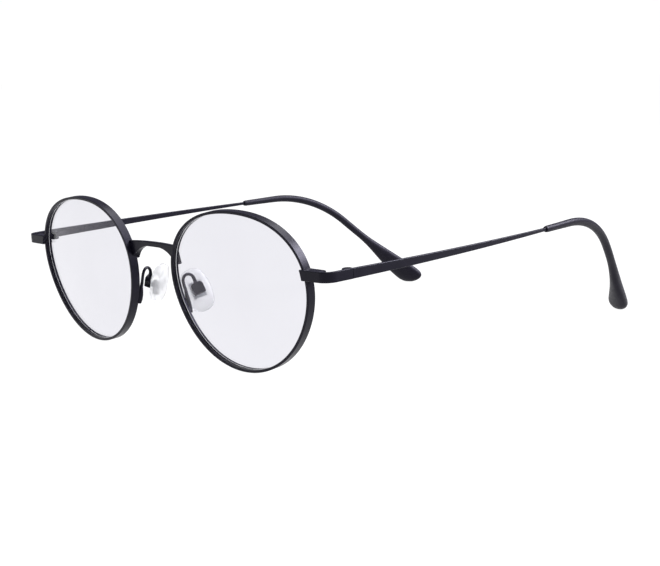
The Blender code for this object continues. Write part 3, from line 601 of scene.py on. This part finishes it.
def make_bridge():
    """A flat arched bar whose ends flare down and back on to the rims' nasal sides."""
    stations = 72
    rings = []
    for k in range(stations + 1):
        side = 2.0 * k / stations - 1.0
        end = abs(side) ** 3.0
        top_x = (BRIDGE_HALF + BRIDGE_OVERRUN) * side
        foot_x = top_x - BRIDGE_FOOT_IN * end * side
        flare = max(0.0, abs(top_x) - BRIDGE_FLARE_START) / (BRIDGE_HALF - BRIDGE_FLARE_START)
        flare = min(flare, BRIDGE_FLARE_LIMIT)
        top = BRIDGE_TOP_Z - BRIDGE_SAG * side * side
        low = top - BRIDGE_HEIGHT - (BRIDGE_FOOT_HEIGHT - BRIDGE_HEIGHT) * flare ** 2.0
        front = -BRIDGE_BOW
        top_back = front + BRIDGE_DEPTH - BRIDGE_TOP_THIN * end
        foot_back = front + BRIDGE_DEPTH + BRIDGE_FOOT_DEEP * side * side
        corners = ((top_x, top_back, top), (top_x, front, top),
                   (foot_x, front, low), (foot_x, foot_back, low))
        ring = []
        for (x, y, z), start in zip(corners, (0.0, 90.0, 180.0, 270.0)):
            sign_y = 1.0 if start in (0.0, 270.0) else -1.0
            sign_z = 1.0 if start in (0.0, 90.0) else -1.0
            for i in range(5):
                angle = math.radians(start + 22.5 * i)
                ring.append((x, y - sign_y * BRIDGE_EDGE + BRIDGE_EDGE * math.cos(angle),
                             z - sign_z * BRIDGE_EDGE + BRIDGE_EDGE * math.sin(angle)))
        rings.append(ring)
    bm = bmesh.new()
    skin_rings(bm, rings)
    bridge = add_object("bridge", bm)
    trim = rim_clearance()
    other_trim = mirrored(trim, "rim_clearance_mirror")
    cut(bridge, trim)
    cut(bridge, other_trim)
    soften(bridge, 40.0)
    place(bridge, "bridge")


# ---- temples -------------------------------------------------------------------------------------

def oval_section(distance, radius_across, radius_up, sides, widen=0.0):
    """An oval section about the core wire, which twists, leans up and slants as the paddle widens."""
    origin, along, across, up = temple_axes(distance)
    twist = math.radians(PADDLE_TWIST_DEG) * widen
    long_way = up * math.cos(twist) - across * math.sin(twist)
    short_way = across * math.cos(twist) + up * math.sin(twist)
    centre = origin + across * (BAR_THICK_END / 2.0) + long_way * (PADDLE_LEAN * widen)
    slanted = long_way + along * (PADDLE_SLANT * widen)
    ring = []
    for k in range(sides):
        angle = 2.0 * math.pi * (k + 0.5) / sides
        ring.append(centre + short_way * (math.cos(angle) * radius_across)
                    + slanted * (math.sin(angle) * radius_up))
    return ring


def make_temple_bars():
    """A flat bar with rounded edges, taller at the hinge, ending in the round core wire."""
    steps = 4
    sides = 4 * (steps + 1)
    start = SEAM_S + SEAM_GAP
    bar_end = TIP_S + BAR_RUN_ON
    stations = 110
    rings = []
    for k in range(stations + 1):
        s = start + (bar_end - start) * k / stations
        share = s / TIP_S
        half = (BAR_HEIGHT[0] + (BAR_HEIGHT[1] - BAR_HEIGHT[0]) * share) / 2.0
        thick = BAR_THICK + (BAR_THICK_END - BAR_THICK) * min(share, 1.0)
        origin, _, across, up = temple_axes(s)
        section = rounded_rectangle((0.0, -half), (thick, half), BAR_EDGE, steps)
        rings.append([origin + across * a + up * b for a, b in section])
    for k in range(40):
        s = bar_end + CORE_EASE + (CORE_LENGTH - CORE_EASE) * k / 39.0
        rings.append(oval_section(s, CORE_R, CORE_R, sides))
    bm = bmesh.new()
    skin_rings(bm, rings)
    place_pair(add_object("temple_bar", bm), "temple_bar", 50.0)


def smooth_step(value):
    value = min(max(value, 0.0), 1.0)
    return value * value * (3.0 - 2.0 * value)


def make_temple_tips():
    """A sleeve with a chamfered, grooved mouth that bends over the ear and widens to a flat paddle."""
    sides = 32
    span = temple_length() - TIP_S
    outer = []
    # Shares of the tip's length: close together at the mouth and its groove, and at the rounded end
    shares = [0.0, 0.0008, 0.002, 0.005, 0.009, 0.0135, 0.016, 0.0175, 0.019, 0.021, 0.024, 0.03]
    shares += [0.03 + 0.90 * (k + 1) / 110.0 for k in range(110)]
    shares += [0.93 + 0.07 * (1.0 - (1.0 - (k + 1) / 22.0) ** 1.8) for k in range(22)]
    for share in shares:
        s = TIP_S + span * share
        thicken = smooth_step(share / SLEEVE_THICKEN)
        widen = smooth_step((share - PADDLE_SPREAD[0]) / PADDLE_SPREAD[1])
        chamfer = MOUTH_START + (1.0 - MOUTH_START) * math.sqrt(min(share / MOUTH_SHARE, 1.0))
        groove_at, groove_width, groove_depth = COLLAR
        groove = groove_depth * math.exp(-((share - groove_at) / groove_width) ** 2)
        sleeve = (SLEEVE_R[0] + (SLEEVE_R[1] - SLEEVE_R[0]) * thicken) * (chamfer - groove)
        up = sleeve + (PADDLE_SIZE[0] / 2.0 - sleeve) * widen
        across = sleeve + (PADDLE_SIZE[1] / 2.0 - sleeve) * widen
        blunt = max(0.0, (share - PADDLE_BLUNT) / (1.0 - PADDLE_BLUNT))
        rounding = (1.0 - (blunt * PADDLE_CLOSE) ** PADDLE_CORNER) ** (1.0 / PADDLE_CORNER)
        outer.append(oval_section(s, across * rounding, up * rounding, sides, widen))
    bore = []
    bore_end = TIP_S + BAR_RUN_ON + CORE_LENGTH + CORE_EASE
    mouth = BAR_HEIGHT[1] / 2.0 + MOUTH_PLAY
    for k in range(50):
        s = TIP_S + (bore_end - TIP_S) * k / 49.0
        radius = mouth if s < TIP_S + MOUTH_DEPTH else CORE_R + CORE_PLAY
        bore.append(oval_section(s, radius, radius, sides))
    bm = bmesh.new()
    skin_rings(bm, list(reversed(outer)) + bore)
    place_pair(add_object("temple_tip", bm), "temple_tip", 50.0)


# ---- end pieces ----------------------------------------------------------------------------------

def end_piece_outline():
    """Plan points of the end piece's outer face, from the rim's front round to the hinge seam."""
    points = [Vector((END_INNER_X, END_FRONT_Y - 0.05))]
    side_x = TEMPLE_START[0] - 0.12
    centre = Vector((side_x - END_BEND_R, END_FRONT_Y + 0.3 + END_BEND_R))
    steps = 36
    for k in range(steps + 1):
        angle = math.radians(-END_BEND_DEG + (END_BEND_DEG - TEMPLE_OUT_DEG) * k / steps)
        points.append(centre + Vector((math.cos(angle), math.sin(angle))) * END_BEND_R)
    seam = temple_axes(SEAM_S)[0]
    points.append(Vector((seam.x, seam.y)))
    return points


def end_piece_rings():
    """Rounded sections carried along the plan outline, sheared up and slimmed towards the seam."""
    outline = end_piece_outline()
    seam = temple_axes(SEAM_S)[0]
    rings = []
    section = rounded_rectangle((0.0, -END_HEIGHT / 2.0), (BAR_THICK, END_HEIGHT / 2.0), END_EDGE, 4)
    for i, point in enumerate(outline):
        before = outline[max(i - 1, 0)]
        after = outline[min(i + 1, len(outline) - 1)]
        along = (after - before).normalized()
        inward = Vector((-along.y, along.x))
        ring = []
        for a, b in section:
            spot = point + inward * a
            share = min(max((spot.y - END_FRONT_Y) / (seam.y - END_FRONT_Y), 0.0), 1.0)
            middle = END_Z + (seam.z - END_Z) * share
            slim = 1.0 + (BAR_HEIGHT[0] / END_HEIGHT - 1.0) * share
            ring.append((spot.x, spot.y, middle + b * slim))
        rings.append(ring)
    return rings


def make_end_pieces():
    """A flat plate over the rim's front that bends back to the hinge, trimmed to fit the rim."""
    bm = bmesh.new()
    skin_rings(bm, end_piece_rings())
    end_piece = add_object("end_piece", bm)
    bevel(end_piece, END_ROUND, 60.0)
    cut(end_piece, rim_clearance())
    place_pair(end_piece, "end_piece", 40.0)


# ---- nose pads -----------------------------------------------------------------------------------

def pad_axes():
    """Unit vectors of the left pad: along its length, across its width, out of its nose face."""
    length = Vector(PAD_AXIS).normalized()
    face = Vector(PAD_FACE)
    face = (face - length * face.dot(length)).normalized()
    return length, length.cross(face), face


def pad_matrix(offset=0.0):
    """Place a pad piece drawn with X along its width, Y out of its nose face and Z up its length."""
    length, width, face = pad_axes()
    matrix = Matrix((width, face, length)).transposed().to_4x4()
    matrix.translation = Vector(PAD_CENTRE) + face * offset
    return matrix


def pad_box_object(name, size, offset):
    """A box of (width, length, depth) at an offset behind the pad's middle."""
    bm = bmesh.new()
    bmesh.ops.create_cube(bm, size=1.0)
    bmesh.ops.scale(bm, vec=(size[0], size[2], size[1]), verts=bm.verts)
    bmesh.ops.transform(bm, matrix=pad_matrix(offset), verts=bm.verts)
    return add_object(name, bm)


def make_nose_pads():
    """A soft D-shaped pad from a subdivided cage, moulded round its insert."""
    bm = bmesh.new()
    bmesh.ops.create_cube(bm, size=1.0)
    bmesh.ops.subdivide_edges(bm, edges=bm.edges, cuts=1, use_grid_fill=True)
    cage_size = [size * CAGE_GROW for size in (PAD_WIDTH, PAD_THICK, PAD_LENGTH)]
    bmesh.ops.scale(bm, vec=cage_size, verts=bm.verts)
    for vert in bm.verts:
        if abs(vert.co.x) > PAD_WIDTH * 0.4 and abs(vert.co.z) > PAD_LENGTH * 0.4:
            vert.co.x *= CAGE_CORNER
            vert.co.z *= CAGE_CORNER
        if vert.co.y < 0.0:
            vert.co.x *= CAGE_BACK[0]
            vert.co.z *= CAGE_BACK[1]
    bmesh.ops.transform(bm, matrix=pad_matrix(), verts=bm.verts)
    pad = add_object("nose_pad", bm)
    subdivision = pad.modifiers.new("Subdivision", "SUBSURF")
    subdivision.levels = 4
    subdivision.render_levels = 4
    apply_modifiers(pad)
    cut(pad, pad_box_object("plate_hollow", [size + 2.0 * GAP for size in PLATE_SIZE], 0.0))
    stem_hollow = (STEM_SIZE[1] + 2.0 * GAP, STEM_SIZE[0] + 2.0 * GAP, STEM_LENGTH)
    cut(pad, pad_box_object("stem_hollow", stem_hollow, -STEM_LENGTH / 2.0))
    for piece in place_pair(pad, "nose_pad", 35.0):
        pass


def smooth_route(points, values, cuts):
    """Points and values read from a smooth curve through a route's own points."""
    fine_points = []
    fine_values = []
    for i in range(len(points) - 1):
        p0 = points[max(i - 1, 0)]
        p1 = points[i]
        p2 = points[i + 1]
        p3 = points[min(i + 2, len(points) - 1)]
        for k in range(cuts):
            t = k / cuts
            linear = 2.0 * p1 + (p2 - p0) * t
            squared = (2.0 * p0 - 5.0 * p1 + 4.0 * p2 - p3) * t ** 2
            cubed = (3.0 * p1 - p0 - 3.0 * p2 + p3) * t ** 3
            fine_points.append(0.5 * (linear + squared + cubed))
            fine_values.append(values[i] + (values[i + 1] - values[i]) * t)
    return fine_points + [points[-1]], fine_values + [values[-1]]


def make_pad_arms():
    """A looped wire: its foot on the rim's back, up over the loop and down to the pad box."""
    length, _, face = pad_axes()
    box_centre = pad_matrix(BOX_OFFSET).translation
    into_box = box_centre + length * (BOX_SIZE[1] / 2.0 - 0.15) - face * 0.1
    points = [Vector((11.85, 1.65, -8.3)), Vector((11.45, 1.75, -7.3)), Vector((11.05, 1.8, -6.1)),
              Vector((10.75, 1.8, -4.9)), Vector((10.4, 1.8, -3.6)), Vector((10.0, 1.85, -2.4)),
              Vector((9.5, 1.8, -1.0)), Vector((9.2, 1.9, 0.1)), Vector((9.2, 2.45, 1.0)),
              Vector((9.45, 3.35, 1.35)), Vector((9.75, 4.25, 1.0)), Vector((10.0, 4.8, 0.1)), into_box]
    radii = [1.3, 1.6, 1.6, 1.45, 1.1, 1.0, 0.95, 0.95, 0.95, 0.95, 0.95, 1.05, 1.25]
    fine_points, fine_radii = smooth_route(points, radii, 8)
    curve = bpy.data.curves.new("pad_arm", "CURVE")
    curve.dimensions = "3D"
    curve.bevel_depth = ARM_R
    curve.bevel_resolution = 6
    curve.use_fill_caps = True
    spline = curve.splines.new("POLY")
    spline.points.add(len(fine_points) - 1)
    for point, spot, radius in zip(spline.points, fine_points, fine_radii):
        point.co = (*spot, 1.0)
        point.radius = radius
    guide = bpy.data.objects.new("pad_arm_route", curve)
    bpy.context.scene.collection.objects.link(guide)
    mesh = bpy.data.meshes.new_from_object(guide.evaluated_get(bpy.context.evaluated_depsgraph_get()))
    bpy.data.objects.remove(guide, do_unlink=True)
    bm = bmesh.new()
    bm.from_mesh(mesh)
    bmesh.ops.remove_doubles(bm, verts=bm.verts, dist=0.001)
    arm = add_object("pad_arm", bm)
    cut(arm, rim_clearance(CLEAR_BEHIND_ARM))
    box_clearance = [size + 2.0 * GAP for size in BOX_SIZE]
    cut(arm, pad_box_object("box_clearance", box_clearance, BOX_OFFSET))
    place_pair(arm, "pad_arm", 40.0)


# ---- small fittings, refined from their own CAD nodes --------------------------------------------

def refine(node, width):
    """Weld a CAD node's mesh, clear its flat facets, round its edges and shade it smoothly."""
    bm = bmesh.new()
    bm.from_mesh(frame["nodes"][node].data)
    bmesh.ops.scale(bm, vec=(1.0 / MM,) * 3, verts=bm.verts)
    bmesh.ops.remove_doubles(bm, verts=bm.verts, dist=WELD)
    bmesh.ops.dissolve_limit(bm, angle_limit=math.radians(FLAT_DEG), verts=bm.verts, edges=bm.edges)
    piece = add_object(node + "_fine", bm)
    bevel(piece, width)
    soften(piece, 35.0)
    piece.data.transform(Matrix.Diagonal((MM, MM, MM, 1.0)))
    place(piece, node, in_row_frame=True)


make_rims()
make_lenses()
make_bridge()
make_temple_bars()
make_temple_tips()
make_end_pieces()
make_nose_pads()
make_pad_arms()
for base, width in ROUNDING.items():
    for side in ("left", "right"):
        refine(f"{base}_{side}", width)


# ---- stage, light and camera ---------------------------------------------------------------------

FLOOR_GAP = 0.00002
LIGHT_AIM = Vector((0.0, 0.0, 0.02))


def make_stage():
    """A wide pale floor, bright enough to stay white under the object."""
    bm = bmesh.new()
    bmesh.ops.create_grid(bm, x_segments=8, y_segments=8, size=6.0)
    floor = add_object("floor", bm)
    m = Nodes("pale_floor", Roughness=0.9, Emission_Strength=1.0, Emission_Color=(1.0, 1.0, 1.0, 1.0))
    m.feed("Base Color", m.ramp(m.noise(3.0, 2.0), (0.02, 0.02, 0.02), (0.03, 0.03, 0.03)))
    floor.data.materials.append(m.material)
    floor.location.z = CAD_BOX[0].z - FLOOR_GAP


def area_light(name, location, size, power, colour=(1.0, 1.0, 1.0)):
    """A soft box aimed at the glasses, seen in gloss but not by the camera or through the lenses."""
    data = bpy.data.lights.new(name, "AREA")
    data.shape = "RECTANGLE"
    data.size = size[0]
    data.size_y = size[1]
    data.energy = power
    data.color = colour
    light = bpy.data.objects.new(name, data)
    light.location = location
    light.rotation_euler = (LIGHT_AIM - Vector(location)).to_track_quat("-Z", "Y").to_euler()
    bpy.context.scene.collection.objects.link(light)
    light.visible_camera = False
    light.visible_transmission = False


def make_world():
    """White to the camera and through the lenses, and a soft grey surround for light and gloss."""
    world = bpy.data.worlds.new("studio")
    bpy.context.scene.world = world
    world.use_nodes = True
    tree = world.node_tree
    background = tree.nodes["Background"]
    background.inputs["Strength"].default_value = 1.0
    background.inputs["Color"].default_value = (0.16, 0.16, 0.20, 1.0)
    white = tree.nodes.new("ShaderNodeBackground")
    white.inputs["Color"].default_value = (1.0, 1.0, 1.0, 1.0)
    white.inputs["Strength"].default_value = 1.01
    rays = tree.nodes.new("ShaderNodeLightPath")
    either = tree.nodes.new("ShaderNodeMath")
    either.operation = "MAXIMUM"
    tree.links.new(rays.outputs["Is Camera Ray"], either.inputs[0])
    tree.links.new(rays.outputs["Is Transmission Ray"], either.inputs[1])
    mix = tree.nodes.new("ShaderNodeMixShader")
    tree.links.new(either.outputs["Value"], mix.inputs["Fac"])
    tree.links.new(background.outputs["Background"], mix.inputs[1])
    tree.links.new(white.outputs["Background"], mix.inputs[2])
    tree.links.new(mix.outputs["Shader"], tree.nodes["World Output"].inputs["Surface"])


def make_lights():
    """One large light overhead, two from behind the wearer's left and a weak one in front."""
    area_light("overhead_softbox", (0.05, 0.15, 0.75), (0.9, 0.6), 9.0)
    area_light("side_softbox", (0.85, 0.45, 0.45), (0.5, 0.6), 4.2, (0.95, 0.96, 1.0))
    area_light("rear_softbox", (0.38, 0.68, 0.66), (0.5, 0.4), 17.0, (0.93, 0.92, 1.0))
    area_light("front_fill", (-0.55, -0.80, 0.50), (0.5, 0.5), 1.0)


# Camera, in the wearing frame: azimuth and elevation of the view, roll, distance to the aimed point
CAMERA_AZIMUTH = 49.110
CAMERA_ELEVATION = 10.034
CAMERA_ROLL = -3.346
CAMERA_DISTANCE = 403.64
CAMERA_TARGET = (15.265, 40.0, -5.875)
CAMERA_LENS = 80.22
CAMERA_SHIFT = (0.0297, -0.0031)


def make_camera():
    """A long lens a little above the rims, looking across the front from the wearer's left."""
    azimuth = math.radians(CAMERA_AZIMUTH)
    elevation = math.radians(CAMERA_ELEVATION)
    roll = math.radians(CAMERA_ROLL)
    back = Vector((math.sin(azimuth) * math.cos(elevation), -math.cos(azimuth) * math.cos(elevation),
                   math.sin(elevation)))
    level_right = Vector((math.cos(azimuth), math.sin(azimuth), 0.0))
    level_up = back.cross(level_right)
    right = level_right * math.cos(roll) + level_up * math.sin(roll)
    up = level_up * math.cos(roll) - level_right * math.sin(roll)
    turn = Matrix((right, up, back)).transposed().to_4x4()
    spot = (Vector(CAMERA_TARGET) + back * CAMERA_DISTANCE) * MM
    data = bpy.data.cameras.new("camera")
    data.sensor_width = 36.0
    data.lens = CAMERA_LENS
    data.shift_x, data.shift_y = CAMERA_SHIFT
    data.clip_start = 0.01
    data.clip_end = 100.0
    camera = bpy.data.objects.new("camera", data)
    camera.matrix_world = STAND @ Matrix.Translation(spot) @ turn
    bpy.context.scene.collection.objects.link(camera)
    bpy.context.scene.camera = camera


make_stage()
make_world()
make_lights()
make_camera()
bpy.context.scene.view_settings.view_transform = "Standard"
